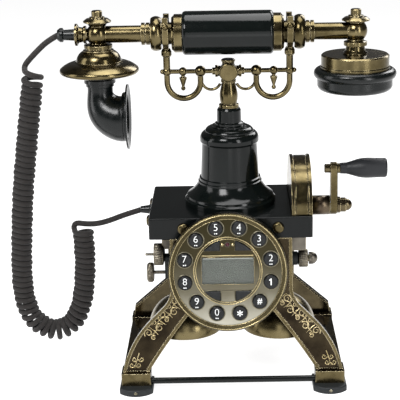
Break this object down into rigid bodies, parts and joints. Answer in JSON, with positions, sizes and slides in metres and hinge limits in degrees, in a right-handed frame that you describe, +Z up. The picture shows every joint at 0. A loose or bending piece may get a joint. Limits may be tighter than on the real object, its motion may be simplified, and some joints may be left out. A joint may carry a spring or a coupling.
{
  "type": "push-button telephone",
  "caption": "Antique-style cradle telephone on four curved cast legs with a turned column, side crank, bells, ring of keys and curly handset cord.",
  "frame": {"origin": "on the floor under the column's axis, midway between the feet", "axes": "+Z up the column, the dial faces -Y, the crank is at +X and the handset cord at -X"},
  "size_m": [0.3287, 0.16, 0.306],
  "materials": {
    "antique_brass": "aged, darkened in the recesses, worn bright on the edges",
    "black_lacquer": "gloss black lacquer",
    "satin_black": "satin black",
    "black_plastic": "moulded black",
    "key_black": "black keys with white figures",
    "display_glass": "grey-green display window",
    "circuit_board": "green laminate",
    "steel": "plain",
    "crank_handle": "matt dark grey",
    "rubber_feet": "matt black",
    "soft_black": "soft moulded sleeve",
    "cord_braid": "braided dark brown textile"
  },
  "bodies": {
    "base": {"dial_housing": "antique_brass", "dial_face": "antique_brass", "display_window": "display_glass", "key_board": "circuit_board", "top_case": "black_lacquer", "base_plate": "satin_black", "main_board": "circuit_board", "case_screws": "antique_brass", "tower_column": "black_lacquer", "gear_drum": "antique_brass", "front_legs": "antique_brass", "rear_legs": "antique_brass", "leg_liners": "satin_black", "foot_pads": "rubber_feet", "tie_rods": "satin_black", "side_rails": "antique_brass", "gongs": "antique_brass", "ringer_frame": "satin_black", "magneto_housing": "satin_black", "terminal_posts": "antique_brass", "cord_lead_upper": "cord_braid", "cord_coil": "cord_braid", "cord_lead_lower": "cord_braid", "base_cord_gland": "antique_brass"},
    "cradle": {"cradle_stem": "antique_brass", "cradle_arms": "antique_brass", "cradle_forks": "antique_brass"},
    "handset": {"handset_grip": "black_lacquer", "grip_ferrules": "antique_brass", "handset_rods": "antique_brass", "handset_hubs": "antique_brass", "transmitter_saucer": "antique_brass", "mouthpiece_horn": "black_plastic", "sound_capsules": "satin_black", "receiver_can": "antique_brass", "ear_cap": "black_plastic", "handset_cord_gland": "antique_brass", "handset_strain_relief": "soft_black"},
    "crank": {"crank_shaft": "steel", "crank_arm": "antique_brass", "crank_fasteners": "antique_brass"},
    "crank_handle": {"crank_knob": "crank_handle"},
    "clapper": {"clapper": "steel"},
    "volume_wheel": {"volume_wheel": "antique_brass"},
    "key_0": {"key_0": "key_black"},
    "key_1": {"key_1": "key_black"},
    "key_2": {"key_2": "key_black"},
    "key_3": {"key_3": "key_black"},
    "key_4": {"key_4": "key_black"},
    "key_5": {"key_5": "key_black"},
    "key_6": {"key_6": "key_black"},
    "key_7": {"key_7": "key_black"},
    "key_8": {"key_8": "key_black"},
    "key_9": {"key_9": "key_black"},
    "key_star": {"key_star": "key_black"},
    "key_hash": {"key_hash": "key_black"},
    "function_key_upper_left": {"function_key_upper_left": "key_black"},
    "function_key_upper_right": {"function_key_upper_right": "key_black"},
    "function_key_lower_left": {"function_key_lower_left": "key_black"},
    "function_key_lower_right": {"function_key_lower_right": "key_black"}
  },
  "joints": [
    {"name": "handset_lift", "type": "slide", "parent": "base", "child": "handset", "axis": [0, 0, 1], "range_m": [0, 0.06]},
    {"name": "cradle_rise", "type": "slide", "parent": "base", "child": "cradle", "axis": [0, 0, 1], "range_m": [0, 0.0025]},
    {"name": "crank_turn", "type": "hinge", "parent": "base", "child": "crank", "pos_m": [0.0848, 0, 0.138], "axis": [1, 0, 0], "continuous": true},
    {"name": "handle_spin", "type": "hinge", "parent": "crank", "child": "crank_handle", "pos_m": [0.11, 0, 0.1702], "axis": [1, 0, 0], "continuous": true},
    {"name": "clapper_swing", "type": "hinge", "parent": "base", "child": "clapper", "pos_m": [0, -0.005, 0.079], "axis": [0, 1, 0], "range_deg": [-8, 8]},
    {"name": "volume_turn", "type": "hinge", "parent": "base", "child": "volume_wheel", "pos_m": [-0.0684, -0.02, 0.0868], "axis": [-1, 0, 0], "range_deg": [-135, 135]},
    {"name": "key_0_press", "type": "slide", "parent": "base", "child": "key_0", "axis": [0, 0.9885, -0.1513], "range_m": [0, 0.0012], "stiffness_N_per_m": 300, "springref_m": -0.0004},
    {"name": "key_1_press", "type": "slide", "parent": "base", "child": "key_1", "axis": [0, 0.9885, -0.1513], "range_m": [0, 0.0012], "stiffness_N_per_m": 300, "springref_m": -0.0004},
    {"name": "key_2_press", "type": "slide", "parent": "base", "child": "key_2", "axis": [0, 0.9885, -0.1513], "range_m": [0, 0.0012], "stiffness_N_per_m": 300, "springref_m": -0.0004},
    {"name": "key_3_press", "type": "slide", "parent": "base", "child": "key_3", "axis": [0, 0.9885, -0.1513], "range_m": [0, 0.0012], "stiffness_N_per_m": 300, "springref_m": -0.0004},
    {"name": "key_4_press", "type": "slide", "parent": "base", "child": "key_4", "axis": [0, 0.9885, -0.1513], "range_m": [0, 0.0012], "stiffness_N_per_m": 300, "springref_m": -0.0004},
    {"name": "key_5_press", "type": "slide", "parent": "base", "child": "key_5", "axis": [0, 0.9885, -0.1513], "range_m": [0, 0.0012], "stiffness_N_per_m": 300, "springref_m": -0.0004},
    {"name": "key_6_press", "type": "slide", "parent": "base", "child": "key_6", "axis": [0, 0.9885, -0.1513], "range_m": [0, 0.0012], "stiffness_N_per_m": 300, "springref_m": -0.0004},
    {"name": "key_7_press", "type": "slide", "parent": "base", "child": "key_7", "axis": [0, 0.9885, -0.1513], "range_m": [0, 0.0012], "stiffness_N_per_m": 300, "springref_m": -0.0004},
    {"name": "key_8_press", "type": "slide", "parent": "base", "child": "key_8", "axis": [0, 0.9885, -0.1513], "range_m": [0, 0.0012], "stiffness_N_per_m": 300, "springref_m": -0.0004},
    {"name": "key_9_press", "type": "slide", "parent": "base", "child": "key_9", "axis": [0, 0.9885, -0.1513], "range_m": [0, 0.0012], "stiffness_N_per_m": 300, "springref_m": -0.0004},
    {"name": "key_star_press", "type": "slide", "parent": "base", "child": "key_star", "axis": [0, 0.9885, -0.1513], "range_m": [0, 0.0012], "stiffness_N_per_m": 300, "springref_m": -0.0004},
    {"name": "key_hash_press", "type": "slide", "parent": "base", "child": "key_hash", "axis": [0, 0.9885, -0.1513], "range_m": [0, 0.0012], "stiffness_N_per_m": 300, "springref_m": -0.0004},
    {"name": "function_key_upper_left_press", "type": "slide", "parent": "base", "child": "function_key_upper_left", "axis": [0, 0.9885, -0.1513], "range_m": [0, 0.0012], "stiffness_N_per_m": 300, "springref_m": -0.0004},
    {"name": "function_key_upper_right_press", "type": "slide", "parent": "base", "child": "function_key_upper_right", "axis": [0, 0.9885, -0.1513], "range_m": [0, 0.0012], "stiffness_N_per_m": 300, "springref_m": -0.0004},
    {"name": "function_key_lower_left_press", "type": "slide", "parent": "base", "child": "function_key_lower_left", "axis": [0, 0.9885, -0.1513], "range_m": [0, 0.0012], "stiffness_N_per_m": 300, "springref_m": -0.0004},
    {"name": "function_key_lower_right_press", "type": "slide", "parent": "base", "child": "function_key_lower_right", "axis": [0, 0.9885, -0.1513], "range_m": [0, 0.0012], "stiffness_N_per_m": 300, "springref_m": -0.0004}
  ],
  "couplings": [
    {"joint": "cradle_rise", "follows": "handset_lift", "ratio": 0.041667}
  ]
}
